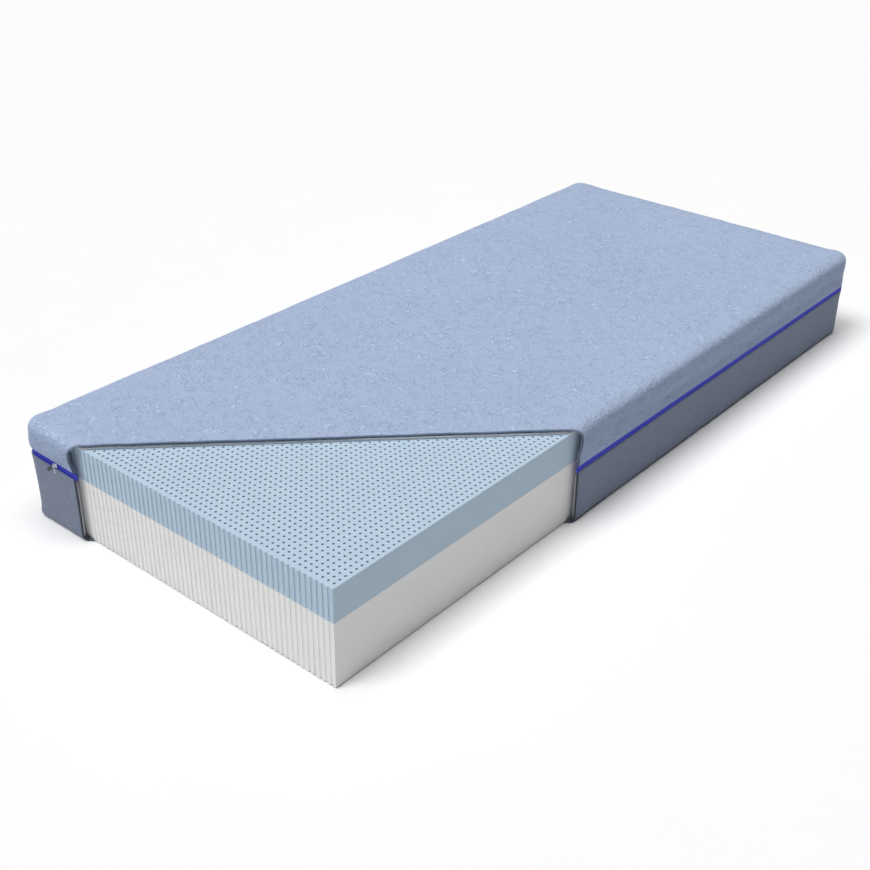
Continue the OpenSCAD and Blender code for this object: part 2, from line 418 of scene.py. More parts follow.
def make_fibre(name, base):
    m = Nodes(name)
    strands = m.noise(1.0, 5.0, 0.65, 2.2, vector=m.scaled((420, 90, 260)))
    strands_b = m.noise(1.0, 5.0, 0.65, 2.0, vector=m.scaled((110, 380, 240)))
    fluff = m.math("MAXIMUM", strands, strands_b)
    tone = m.mix(m.span(fluff, 0.35, 0.75), shade(base, 0.82), base)
    return m.finish(tone, 1.0, m.bump(fluff, 0.0015, 0.6), sheen=0.35, specular=0.1)


def make_felt(name, base):
    m = Nodes(name)
    fuzz = m.noise(900, 4.0, 0.7, 1.2)
    clumps = m.noise(120, 3.0, 0.6)
    tone = m.mix(m.span(clumps, 0.3, 0.7, 0.0, 0.35), base, shade(base, 0.86))
    tone = m.mix(m.span(fuzz, 0.4, 0.7, 0.0, 0.25), tone, shade(base, 1.1))
    normal = m.bump(fuzz, 0.0005, 0.6, m.bump(clumps, 0.0012, 0.35))
    return m.finish(tone, 0.97, normal, sheen=0.2, specular=0.15)


def make_binding(name, low, high, worn):
    m = Nodes(name)
    rib = m.wave(0.0012, "DIAGONAL", 0.3)
    tone = m.mix(m.span(rib, 0.1, 0.9), low, high)
    tone = m.mix(m.span(m.noise(40, 3.0), 0.35, 0.7, 0.0, 0.3), tone, worn)
    # painted highlight: the binding is lighter along the top of the cover, where the light from above falls
    tone = m.mix(m.span(m.height(), 0.212, 0.224), tone, srgb(128, 146, 172))
    return m.finish(tone, 0.8, m.bump(rib, 0.00025, 0.6), sheen=0.2, specular=0.3)


def make_ribbed(name, warp, weft, uneven, low, high, roughness, relief, strength, **looks):
    """A tight narrow weave of two sets of ribs, each given as its pitch and direction."""
    m = Nodes(name)
    weave = m.times(m.wave(*warp, uneven), m.wave(*weft, uneven))
    tone = m.mix(m.span(weave, 0.0, 0.8), low, high)
    return m.finish(tone, roughness, m.bump(weave, relief, strength), **looks)


def make_coil():
    m = Nodes("zip_coil_blue")
    scuff = m.noise(300, 4.0, 0.6)
    tone = m.mix(m.span(scuff, 0.4, 0.7, 0.0, 0.35), srgb(38, 48, 205), srgb(84, 100, 238))
    return m.finish(tone, m.span(scuff, 0.3, 0.7, 0.30, 0.46), m.bump(scuff, 0.00008, 0.4), specular=0.5)


def make_metal(name, base, dark, rough_low, rough_high, metallic=1.0):
    m = Nodes(name)
    wear = m.noise(420, 5.0, 0.65)
    grain = m.noise(1.0, 3.0, 0.5, vector=m.scaled((3600, 500, 500)))
    tone = m.mix(m.span(wear, 0.35, 0.68), base, dark)
    polish = m.math("ADD", m.times(wear, 0.6), m.times(grain, 0.4))
    rough = m.span(polish, 0.3, 0.7, rough_low, rough_high)
    return m.finish(tone, rough, m.bump(grain, 0.00004, 0.5), metallic=metallic)


def make_glue():
    m = Nodes("glue")
    streak = m.noise(1.0, 4.0, 0.6, vector=m.scaled((30, 30, 400)))
    tone = m.mix(m.span(streak, 0.3, 0.7), srgb(206, 208, 196), srgb(232, 232, 222))
    return m.finish(tone, m.span(streak, 0.3, 0.7, 0.35, 0.6), m.bump(streak, 0.0003, 0.4), specular=0.4)


def make_floor():
    m = Nodes("floor")
    tone = m.mix(m.span(m.noise(6, 4.0, 0.5), 0.3, 0.7), (0.985, 0.985, 0.985), (0.99, 0.99, 0.99))
    return m.finish(tone, 0.95, specular=0.0)


knit = make_knit()
woven = make_woven("woven_grey", srgb(138, 148, 168), srgb(112, 121, 141), 0.0016)
panel_weave = make_woven("panel_grey", srgb(132, 138, 150), srgb(104, 110, 126), 0.0021, 0.05)
felt = make_felt("felt_lining", srgb(205, 208, 214))
fibre = make_fibre("fibre_fill", srgb(240, 241, 243))
navy = make_binding("binding_navy", srgb(62, 76, 102), srgb(88, 104, 132), srgb(104, 122, 150))
charcoal = make_binding("binding_charcoal", srgb(48, 52, 62), srgb(66, 72, 84), srgb(82, 90, 102))
tape = make_ribbed("zip_tape_blue", (0.0009, "DIAGONAL"), (0.0011, "Z"), 0.2, srgb(34, 42, 190),
                   srgb(58, 70, 232), 0.62, 0.0002, 0.6, sheen=0.15, sheen_tint=(0.5, 0.6, 1.0), specular=0.4)
coil = make_coil()
white_foam = make_foam("white_foam", srgb(246, 246, 246), srgb(232, 232, 233), 0.0012)
blue_foam = make_foam("blue_foam", srgb(194, 214, 231), srgb(172, 195, 214), 0.0011)
steel = make_metal("slider_metal", srgb(244, 246, 250), srgb(214, 217, 223), 0.30, 0.50, 0.5)
dark_metal = make_metal("pull_metal", srgb(70, 74, 84), srgb(38, 41, 50), 0.30, 0.5)
ribbon_cloth = make_ribbed("ribbon_grey", (0.0007, "Z"), (0.0006, "X"), 0.1, srgb(150, 158, 172),
                           srgb(205, 210, 220), 0.55, 0.00012, 0.5, sheen=0.3, specular=0.45)
glue = make_glue()

# ---- camera, light and floor
cam_data = bpy.data.cameras.new("camera")
cam_data.lens = 53.11
cam_data.sensor_width = 36
cam_data.clip_end = 60
camera = new_object("camera", cam_data)
camera.location = (1.6692, -2.1944, 1.5198)
camera.rotation_euler = tuple(radians(a) for a in (59.878, -0.574, 40.333))
scene.camera = camera


def soft_sun(name, toward, strength, width):
    """A far, wide light; toward is the direction it shines from."""
    data = bpy.data.lights.new(name, "SUN")
    data.energy = strength * pi
    data.angle = radians(width)
    new_object(name, data).rotation_euler = Vector(toward).to_track_quat("Z", "Y").to_euler()


soft_sun("key", (-0.19, -0.45, 0.88), 0.51, 26)
soft_sun("overhead", (-0.03, 0.02, 1.0), 0.545, 50)

world = bpy.data.worlds.new("world")
scene.world = world
world.use_nodes = True
background = world.node_tree.nodes["Background"].inputs
background["Color"].default_value = (1, 1, 1, 1)
background["Strength"].default_value = 0.95
world.cycles_visibility.diffuse = False   # a white backdrop that adds no light of its own
scene.view_settings.view_transform = "Standard"

floor = mesh_object("floor", [(x, y, -0.0006) for x, y in ((-14, -14), (14, -14), (14, 14), (-14, 14))],
                    [(0, 1, 2, 3)], make_floor())


# ---- the cover's plan, as a grid that wraps over the edges
def plan_grid(step):
    """A grid over the flat of the top: its points, its quads, its outer loop and that loop's normals."""
    half_w, half_l = W / 2 - TOP_EDGE_R, L / 2 - TOP_EDGE_R
    r = CORNER_R - TOP_EDGE_R
    k = max(3, round(r / step))
    nx, ny = round((2 * half_w - 2 * r) / step), round((2 * half_l - 2 * r) / step)

    def line(half, n):
        inner = np.linspace(-half + r, half - r, n + 1)
        outer = np.linspace(0, r, k + 1)[1:]
        return np.concatenate([-half + r - outer[::-1], inner, half - r + outer])

    xs, ys = line(half_w, nx), line(half_l, ny)
    X, Y = np.meshgrid(xs, ys, indexing="ij")
    u = np.clip((np.abs(X) - half_w + r) / r, 0, 1)
    v = np.clip((np.abs(Y) - half_l + r) / r, 0, 1)
    corner = (u > 0) & (v > 0)
    cx, cy = half_w - r, half_l - r
    X = np.where(corner, np.sign(X) * (cx + r * u * np.sqrt(1 - v * v / 2)), X)
    Y = np.where(corner, np.sign(Y) * (cy + r * v * np.sqrt(1 - u * u / 2)), Y)
    cols, rows = X.shape
    index = np.arange(cols * rows).reshape(cols, rows)
    quads = np.stack([index[:-1, :-1], index[1:, :-1], index[1:, 1:], index[:-1, 1:]], -1).reshape(-1, 4)
    loop = np.concatenate([index[:-1, 0], index[-1, :-1], index[:0:-1, -1], index[0, :0:-1]])
    pts = np.stack([X.ravel(), Y.ravel()], 1)
    edge = pts[loop]
    inner = np.stack([np.clip(edge[:, 0], -cx, cx), np.clip(edge[:, 1], -cy, cy)], 1)
    return pts, quads, loop, unit(edge - inner)


def zip_height(x, offset):
    return ZIP_Z - ZIP_SLOPE * x + offset


def wrap(name, step, profile, material, flat_z=None):
    """A skin round the mattress.

    profile(x, y) lists its rows as (distance outwards from the plan grid's edge, z). Where flat_z is set, the
    flat of the top or bottom joins the first row.
    """
    pts, quads, loop, normal = plan_grid(step)
    base = pts[loop]
    verts, faces, previous, used = [], [], None, 0
    if flat_z is not None:
        verts.append(np.column_stack([pts, np.full(len(pts), flat_z)]))
        faces.extend(map(tuple, quads.tolist()))
        previous, used = loop.tolist(), len(pts)
    for d, z in profile(base[:, 0], base[:, 1]):
        verts.append(np.column_stack([base + normal * np.reshape(d, (-1, 1)), np.broadcast_to(z, len(loop))]))
        current = range(used, used + len(loop))
        if previous is not None:
            faces.extend(zip(previous, current, [*current[1:], current[0]], [*previous[1:], previous[0]]))
        previous = current
        used += len(loop)
    return mesh_object(name, np.concatenate(verts), faces, material)


def by_slider(x, y):
    """1 along the stretch the slider runs on, 0 away from it."""
    return smooth((0.105 - np.abs(np.asarray(x) + 0.347)) / 0.030) * (np.asarray(y) < 0)


def hem_height(x, y, above):
    """A line above the zip tape, a little higher where the slider runs."""
    return zip_height(x, ZIP_HALF + above + 0.0024 * by_slider(x, y))


def upper_profile(x, y):
    """The outline of the upper cover, from the top's edge to the hem at the zip."""
    start = H - TOP_EDGE_R
    out = [(TOP_EDGE_R * sin(a), start + TOP_EDGE_R * cos(a)) for a in QUARTER_TURN]
    end = hem_height(x, y, 0.0038)
    for t in np.linspace(0, 1, 9)[1:]:
        z = start + (end - start) * t
        out.append((TOP_EDGE_R - SIDE_INSET * smooth((BULGE_Z - z) / (BULGE_Z - TAPER_Z)), z))
    return out


def lower_profile(x, y):
    """The outline of the lower cover, from the zip down and round under the mattress."""
    start = zip_height(x, -ZIP_HALF - 0.0018)
    out = [(WALL_EDGE, start + (BOTTOM_EDGE_R - start) * t) for t in np.linspace(0, 1, 13)]
    for a in QUARTER_TURN:
        out.append((WALL_EDGE - BOTTOM_EDGE_R + BOTTOM_EDGE_R * cos(a),
                    BOTTOM_EDGE_R - BOTTOM_EDGE_R * sin(a)))
    return out


# ---- cloth simulation of the two fabric skins
def simulate(ob, pinned, pressure, uneven, cap):
    """Lets a skin swell between its pins as cloth, caps how far each point moves, and keeps the result."""
    start = points_of(ob)
    pins = ob.vertex_groups.new(name="pins")
    pins.add(np.flatnonzero(pinned).tolist(), 1.0, "REPLACE")
    swell = ob.vertex_groups.new(name="swell")
    level = np.clip(np.round(uneven * 20) / 20, 0, 1)
    for v in np.unique(level):
        swell.add(np.flatnonzero(level == v).tolist(), float(v), "REPLACE")
    cloth = ob.modifiers.new("cloth", "CLOTH")
    values = dict(quality=4, mass=0.25, tension_stiffness=12, compression_stiffness=12, shear_stiffness=5,
                  bending_stiffness=0.6, use_pressure=True, uniform_pressure_force=pressure,
                  vertex_group_mass="pins", vertex_group_pressure="swell", shrink_min=-0.004)
    for key, value in values.items():
        setattr(cloth.settings, key, value)
    cloth.settings.effector_weights.gravity = 0
    cloth.collision_settings.use_collision = False
    cloth.point_cache.frame_start, cloth.point_cache.frame_end = 1, CLOTH_FRAMES
    for f in range(1, CLOTH_FRAMES + 1):
        scene.frame_set(f)
    dg = bpy.context.evaluated_depsgraph_get()
    moved = np.array([v.co for v in ob.evaluated_get(dg).data.vertices], float)
    ob.modifiers.clear()
    ob.vertex_groups.clear()
    scene.frame_set(1)
    step = moved - start
    far = np.linalg.norm(step, axis=1)
    soft = cap * np.tanh(far / cap) / np.maximum(far, 1e-9)
    set_points(ob, start + step * soft[:, None])


def past_cut(co, setback):
    return (co[:, 0] - co[:, 1]) > CUT - setback * sqrt(2)


def from_cut(co):
    """How far points lie inside the cut."""
    return (CUT - (co[:, 0] - co[:, 1])) / sqrt(2)


def stands_for(ob, body, node):
    """Puts a piece on its body, in place of its CAD node."""
    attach(ob, body)
    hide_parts(node)


# ---- upper cover
skin = wrap("knit_cover", 0.010, upper_profile, None, H)
co = points_of(skin)
# the starting shape lies a little inside the finished one, and the wadding swells it out
inside = smooth(from_cut(co) / 0.10) * smooth((co[:, 2] - zip_height(co[:, 0], 0.010)) / 0.03)
co -= normals_of(skin) * (0.0020 * inside)[:, None]
set_points(skin, co)
hem = co[:, 2] < zip_height(co[:, 0], 0.0125)
uneven = 0.55 + 0.45 * undulation(co, 0.16, 5, 3)
simulate(skin, hem | past_cut(co, 0.006), 3.0, uneven, 0.0035)
subdivide(skin)
co, no = points_of(skin), normals_of(skin)
free = smooth((co[:, 2] - zip_height(co[:, 0], 0.010)) / 0.02)
relief = 0.0009 * undulation(co, 0.075, 11, 2) + 0.0006 * undulation(co, 0.030, 23, 2)
worms = 1 - smooth(np.abs(value_noise(co, 0.0155, 31)) / 0.34)
relief += 0.00055 * worms * (0.55 + 0.45 * undulation(co, 0.11, 41))
set_points(skin, co + no * (relief * free)[:, None])
shaped = skin.data.copy()                 # the whole skin, before it is cut, for the layers under it


def layer_under(name, depth, thickness, material):
    """A layer of the cover that follows the knitted face from behind."""
    ob = new_object(name, shaped.copy())
    co, no = points_of(ob), normals_of(ob)
    set_points(ob, co - no * depth)
    m = ob.modifiers.new("fewer", "DECIMATE")
    m.ratio = 0.28
    apply_modifiers(ob)
    cut_away(ob, LAYER_SETBACK)
    thicken(ob, thickness)
    set_material(ob, material)
    ob.data.polygons.foreach_set("use_smooth", [True] * len(ob.data.polygons))
    return ob


def hem_fold(ob, is_edge, inward, up):
    """Turns the edge of a skin at the zip inwards, as a sewn hem."""
    with editing(ob) as bm:
        edges = [e for e in bm.edges if e.is_boundary and all(is_edge(v.co) for v in e.verts)]
        for d, z in ((inward * 0.35, -up * 0.35), (inward * 0.4, up * 0.1), (inward * 0.25, up * 1.6)):
            verts, edges = parted(bmesh.ops.extrude_edge_only(bm, edges=edges)["geom"])
            for v in verts:
                cx = max(-W / 2 + CORNER_R, min(W / 2 - CORNER_R, v.co.x))
                cy = max(-L / 2 + CORNER_R, min(L / 2 - CORNER_R, v.co.y))
                out = Vector((v.co.x - cx, v.co.y - cy, 0))
                if out.length > 1e-6:
                    v.co -= out.normalized() * d
                v.co.z += z
        for f in bm.faces:
            f.smooth = True


cut_away(skin, FACE_SETBACK)
hem_fold(skin, lambda c: c.z < hem_height(c.x, c.y, 0.0052), 0.0030, 0.0030)
set_material(skin, knit)
stands_for(skin, "upper_cover", "upper_face")

fill = layer_under("cover_fill", 0.0013, 0.0020, fibre)
stands_for(fill, "upper_cover", "upper_fill")

backing = layer_under("cover_backing", 0.0036, 0.0005, felt)
stands_for(backing, "upper_cover", "upper_backing")


# ---- bindings
def edge_path(mesh, least):
    """The line where the cut meets a skin: its stretches of more than least points, as (point, normal)."""
    bm = bmesh.new()
    bm.from_mesh(mesh)
    verts, edges = parted(slice_at_cut(bm, BINDING_SETBACK))
    bm.normal_update()
    near = {v: [] for v in verts}
    for e in edges:
        a, b = e.verts
        if a in near and b in near:
            near[a].append(b)
            near[b].append(a)
    paths, seen = [], set()
    for v in sorted(verts, key=lambda v: (v.co.x + v.co.y, v.co.z)):
        if v in seen or len(near[v]) != 1:
            continue
        path, last = [v], v
        seen.add(v)
        while True:
            ahead = [w for w in near[last] if w not in seen]
            if not ahead:
                break
            last = ahead[0]
            seen.add(last)
            path.append(last)
        paths.append([(v.co.copy(), v.normal.copy()) for v in path])
    bm.free()
    return [p for p in paths if len(p) > least]


def evened(path, step):
    """The same line with points a step apart, smoothed a little."""
    p, n = (np.array([tuple(v) for v in side]) for side in zip(*path))
    along = np.concatenate([[0], np.cumsum(np.linalg.norm(np.diff(p, axis=0), axis=1))])
    at = np.linspace(0, along[-1], max(2, round(along[-1] / step) + 1))
    p, n = (np.stack([np.interp(at, along, v[:, k]) for k in range(3)], 1) for v in (p, n))
    for _ in range(3):
        for v in (n, p):
            v[1:-1] = (v[:-2] + 2 * v[1:-1] + v[2:]) / 4
    return p, unit(n)


def squared(v):
    """Takes a circle's sine or cosine to that of a rounded square."""
    return copysign(abs(v) ** 0.62, v)


def bound_edge(name, paths, seed, material, depth=0.0030, width=0.0020, ring=12):
    """A folded tape along the cut edge: a rounded section that wraps the layers, a little uneven."""
    verts, faces = [], []
    out = np.array([1, -1, 0]) / sqrt(2)
    for path in paths:
        p, n = evened(path, 0.004)
        n = unit(n - np.outer(n @ out, out))
        wobble = undulation(p, 0.05, seed, 2)
        rings = []
        for k in range(len(p)):
            closing = min(1.0, 0.35 + k * 0.65, 0.35 + (len(p) - 1 - k) * 0.65)
            half_a = (width / 2 + 0.0004) * closing * (1 + 0.10 * wobble[k])
            half_n = (depth / 2 + 0.0005) * closing * (1 + 0.06 * wobble[k])
            centre = p[k] - n[k] * (depth / 2 - 0.0001) + out * 0.0001
            rings.append(range(len(verts), len(verts) + ring))
            for a in (2 * pi * j / ring for j in range(ring)):
                verts.append(centre + out * half_a * squared(cos(a)) + n[k] * half_n * squared(sin(a)))
        faces += closed_tube(rings)
    ob = mesh_object(name, verts, faces, material)
    weld(ob)
    return ob


binding_up = bound_edge("cover_binding", edge_path(shaped, 20), 51, navy)
stands_for(binding_up, "upper_cover", "upper_binding")

# ---- lower cover
border = wrap("woven_border", 0.010, lower_profile, woven)
co = points_of(border)
inside = (smooth(from_cut(co) / 0.06) * smooth((zip_height(co[:, 0], -0.006) - co[:, 2]) / 0.03)
          * smooth((co[:, 2] - 0.006) / 0.02))
co -= normals_of(border) * (0.0012 * inside)[:, None]
set_points(border, co)
held = (co[:, 2] > zip_height(co[:, 0], -0.009)) | (co[:, 2] < 0.004) | past_cut(co, 0.006)
simulate(border, held, 2.5, 0.55 + 0.45 * undulation(co, 0.20, 61, 3), 0.0022)
subdivide(border)
co, no = points_of(border), normals_of(border)
free = smooth((zip_height(co[:, 0], -0.006) - co[:, 2]) / 0.02) * smooth((co[:, 2] - 0.004) / 0.02)
relief = 0.0007 * undulation(co, 0.09, 71, 2) + 0.0002 * undulation(co, 0.02, 73, 2)
set_points(border, co + no * (free * relief)[:, None])
border_shape = border.data.copy()
cut_away(border, FACE_SETBACK)
hem_fold(border, lambda c: c.z > zip_height(c.x, -ZIP_HALF - 0.0032), 0.0030, -0.0030)
stands_for(border, "lower_cover", "lower_face")


def lining_profile(x, y):
    start, end = zip_height(x, -0.0146), BOTTOM_EDGE_R + 0.0005
    return [(WALL_EDGE - 0.0042, start + (end - start) * t) for t in np.linspace(0, 1, 9)]


lining = wrap("border_lining", 0.014, lining_profile, felt)
co, no = points_of(lining), normals_of(lining)
set_points(lining, co - np.abs(undulation(co, 0.05, 81, 2))[:, None] * no * 0.0003)
cut_away(lining, LAYER_SETBACK)
thicken(lining, 0.0015)
stands_for(lining, "lower_cover", "lower_lining")

binding_low = bound_edge("border_binding", edge_path(border_shape, 8), 53, charcoal)
co = points_of(binding_low)
co[:, 2] = np.maximum(co[:, 2], 0.0002)
set_points(binding_low, co)
stands_for(binding_low, "lower_cover", "lower_binding")

PANEL_Z = 0.0003
panel_edge = WALL_EDGE - BOTTOM_EDGE_R
panel = wrap("base_panel", 0.016, lambda x, y: [(panel_edge - 0.0006, PANEL_Z), (panel_edge, 0.0008)],
             panel_weave, PANEL_Z)
co = points_of(panel)
co[:, 2] += 0.0003 * (1 + undulation(co, 0.05, 91, 2)) * (np.abs(co[:, 2] - PANEL_Z) < 1e-5)
set_points(panel, co)
cut_away(panel, 0.0)
thicken(panel, 0.0007, 1)
weld(panel)
stands_for(panel, "lower_cover", "bottom_panel")


# ---- zip tapes and coils
def zip_swell(x, y):
    """How far the closed zip bows outwards: not at all where the slider runs."""
    return 0.0028 * (1 - by_slider(x, y))


def zip_tape(name, side):
    """One half of the tape: the band that shows, and the part sewn in behind the border, short of the cut."""
    edge = WALL_EDGE - FABRIC_T
    both = bmesh.new()
    # rows of (height from the middle of the zip, share of the swell), and where they end at the cut
    for rows, end in ((((0.0003, 1.0), (0.0025, 1.0), (0.0050, 0.95)), -0.0014),
                      (((0.0050, 0.95), (0.0072, 0.75), (0.0090, 0.35)), 0.0030),
                      (((0.0090, 0.35), (0.0102, 0.0), (0.0138, 0.0)), 0.0100)):
        ob = wrap(name, 0.010, lambda x, y: [(edge, zip_height(x, side * z)) for z, _ in rows], tape)
        co = points_of(ob)
        outward = normals_of(ob)
        outward[:, 2] = 0
        outward *= np.sign(outward[:, 0] * (co[:, 0] / W) + outward[:, 1] * (co[:, 1] / L))[:, None]
        lift = np.repeat([b for _, b in rows], len(co) // len(rows)) * zip_swell(co[:, 0], co[:, 1])
        set_points(ob, co + outward * lift[:, None])
        cut_away(ob, end)
        both.from_mesh(ob.data)
        old = ob.data
        bpy.data.objects.remove(ob)
        bpy.data.meshes.remove(old)
    bmesh.ops.remove_doubles(both, verts=both.verts[:], dist=2e-5)
    bmesh.ops.recalc_face_normals(both, faces=both.faces[:])
    mesh = bpy.data.meshes.new(name)
    both.to_mesh(mesh)
    both.free()
    mesh.materials.append(tape)
    ob = new_object(name, mesh)
    thicken(ob, 0.0007)
    return ob


def coil_line():
    """Evenly spaced places along the zip, each with its outward direction, ending just past the cut."""
    r = CORNER_R - SIDE_INSET - FABRIC_T
    cx, cy = W / 2 - CORNER_R, L / 2 - CORNER_R
    corners = ((-cx, -cy), (cx, -cy), (cx, cy), (-cx, cy))
    on_arc = round(pi / 2 * r / TOOTH_PITCH)
    spots = []
    for k, (nx, ny) in enumerate(((0, -1), (1, 0), (0, 1), (-1, 0))):
        (ax, ay), (bx, by) = corners[k], corners[(k + 1) % 4]
        long = abs(bx - ax) + abs(by - ay)
        for t in np.linspace(0, 1, round(long / TOOTH_PITCH))[:-1]:
            spots.append((ax + r * nx + (bx - ax) * t, ay + r * ny + (by - ay) * t, nx, ny))
        for j in range(on_arc):
            a = pi / 2 * (k - 1 + j / on_arc)
            spots.append((bx + r * cos(a), by + r * sin(a), cos(a), sin(a)))
    s = np.array(spots)
    return s[~past_cut(s, -0.0010)]


def zip_coil(name, side):
    """The teeth on one half of the zip, each with its head at the middle of the zip."""
    s = coil_line()
    section = [(-0.0007, 0.0002), (-0.0005, 0.0008), (0.0, 0.00115), (0.0005, 0.0008), (0.0007, 0.0002)]
    stations = ((0.00035, 0.55, 0.75), (0.0007, 1.0, 1.0), (0.0012, 0.85, 0.80), (0.0016, 0.70, 0.40))
    shift = 0 if side > 0 else 0.5 * TOOTH_PITCH    # the teeth of the two halves sit between each other
    verts, faces = [], []
    along = np.roll(s, -1, 0)[:, :2] - s[:, :2]
    long = np.linalg.norm(along, axis=1)
    keep = long < 0.004
    s, along = s[keep], along[keep] / long[keep][:, None]
    for (x, y, nx, ny), (tx, ty) in zip(s, along):
        first = len(verts)
        swell = float(zip_swell(x, y))
        for z, wide, high in stations:
            for a, d in section:
                out = swell + d * high
                px = x + tx * (a * wide + shift) + nx * out
                py = y + ty * (a * wide + shift) + ny * out
                verts.append((px, py, zip_height(px, side * z)))
        n = len(section)
        last = first + (len(stations) - 1) * n
        tooth = [(a, a + 1, a + 1 + n, a + n) for k in range(first, last, n) for a in range(k, k + n - 1)]
        tooth += [tuple(range(first, first + n))[::-1], tuple(range(last, last + n))]
        faces += [face[::side] for face in tooth]
    return mesh_object(name, verts, faces, coil)


for word, side in (("upper", 1), ("lower", -1)):
    stands_for(zip_tape(f"zip_tape_{word}", side), f"{word}_cover", f"{word}_zip_tape")
    stands_for(zip_coil(f"zip_teeth_{word}", side), f"{word}_cover", f"{word}_zip_coil")


# ---- foam blocks
def groove_points(x, y):
    """The inside of a channel that the foot-end face cuts open, from its +X lip round to its -X lip."""
    return around(x, y, CHANNEL_R, np.linspace(0, pi, 9))


foam_low, foam_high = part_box("foam_core")
channel_x = np.sort(foam_high.x - 0.010 - np.arange(CHANNEL_COLUMNS) * CHANNEL_PITCH)
channel_y = foam_low.y + 0.0013 + np.arange(1, CHANNEL_ROWS + 1) * CHANNEL_PITCH


def foam_slab(name, node, material):
    """A block of foam with the row of cut channels along its foot end."""
    low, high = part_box(node)
    outline = [(foam_low.x, foam_low.y)]
    for x in channel_x:
        outline += groove_points(x, foam_low.y)[::-1]
    outline += [(foam_high.x, foam_low.y), (foam_high.x, foam_high.y), (foam_low.x, foam_high.y)]
    n = len(outline)
    ob = mesh_object(name, [(x, y, z) for z in (high.z, low.z) for x, y in outline],
                     closed_tube([range(n, 2 * n), range(n)]), material)
    ob.data.set_sharp_from_angle(angle=radians(50))
    return ob


def perforated_foam(name, node, material):
    """The memory foam: every channel is a real hole from the top, and the row at the foot end is cut open."""
    low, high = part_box(node)
    verts, faces = [], []
    floor_z = low.z + 0.0004
    spots, nx, ny = {}, CHANNEL_COLUMNS, CHANNEL_ROWS

    def ring_at(outline, z):
        first = len(verts)
        verts.extend((x, y, z) for x, y in outline)
        return list(range(first, len(verts)))

    def hole(i, j, x, y):
        sides = 8 if x - y > CUT - 0.02 else 6         # rounder where the cut shows them
        turn = pi / 8 if sides == 8 else 0
        angles = [turn + 2 * pi * k / sides for k in range(sides)]
        r = ring_at(around(x, y, MOUTH_R, angles), high.z)
        faces.extend(between(r, ring_at(around(x, y, CHANNEL_R, angles), floor_z)))
        if sides == 8:
            spots[i, j] = dict(E=[r[7], r[0]], N=[r[1], r[2]], W=[r[3], r[4]], S=[r[5], r[6]],
                               NE=[r[0], r[1]], NW=[r[2], r[3]], SW=[r[4], r[5]], SE=[r[6], r[7]])
        else:
            spots[i, j] = dict(E=[r[0]], N=[r[1], r[2]], W=[r[3]], S=[r[4], r[5]],
                               NE=[r[0], r[1]], NW=[r[2], r[3]], SW=[r[3], r[4]], SE=[r[5], r[0]])

    def edge_spot(i, j, x, y):
        spots[i, j] = dict.fromkeys(("E", "N", "W", "S", "NE", "NW", "SW", "SE"), ring_at([(x, y)], high.z))
        return spots[i, j]["E"][0]

    for j, y in enumerate(channel_y, 1):
        for i, x in enumerate(channel_x, 1):
            hole(i, j, x, y)
    rim = [edge_spot(0, 0, low.x, low.y)]
    for i, x in enumerate(channel_x, 1):
        ring = ring_at(groove_points(x, low.y), high.z)
        spots[i, 0] = dict(E=[ring[0]], N=ring[3:6], W=[ring[8]], S=[],
                           NE=ring[:4], NW=ring[5:], SW=[], SE=[])
        rim.extend(reversed(ring))
    rim.append(edge_spot(nx + 1, 0, high.x, low.y))
    rim.extend(edge_spot(nx + 1, j, high.x, y) for j, y in enumerate(channel_y, 1))
    rim.append(edge_spot(nx + 1, ny + 1, high.x, high.y))
    rim.extend(edge_spot(i, ny + 1, channel_x[i - 1], high.y) for i in range(nx, 0, -1))
    rim.append(edge_spot(0, ny + 1, low.x, high.y))
    rim.extend(edge_spot(0, j, low.x, channel_y[j - 1]) for j in range(ny, 0, -1))

    def face(loop):
        loop = [v for k, v in enumerate(loop) if v != loop[k - 1]]
        if len(loop) > 2:
            faces.append(tuple(loop))

    for j in range(ny + 2):
        for i in range(nx + 2):
            a = spots[i, j]
            if i <= nx and j <= ny:
                b, c, d = spots[i + 1, j], spots[i + 1, j + 1], spots[i, j + 1]
                face(a["NE"][::-1] + b["NW"][::-1] + c["SW"][::-1] + d["SE"][::-1])
            if i <= nx and 0 < j <= ny:
                b = spots[i + 1, j]
                face([a["E"][0]] + b["W"][::-1] + a["E"][1:][::-1])
            if j <= ny and 0 < i <= nx:
                d = spots[i, j + 1]
                face([a["N"][0]] + d["S"][::-1] + a["N"][1:][::-1])
    foot = ring_at([verts[v][:2] for v in rim], low.z)
    faces.extend(between(foot, rim))
    faces.append(tuple(foot[::-1]))
    ob = mesh_object(name, verts, faces, material)
    ob.data.set_sharp_from_angle(angle=radians(50))
    return ob


core = foam_slab("core_foam", "foam_core", white_foam)
stands_for(core, "foam", "foam_core")
film = foam_slab("glue_layer", "glue_film", glue)
stands_for(film, "foam", "glue_film")
memory = perforated_foam("perforated_foam", "memory_foam", blue_foam)
stands_for(memory, "foam", "memory_foam")

# ---- loose fibre pad under the top of the cover
pad_low, pad_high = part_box("top_pad")


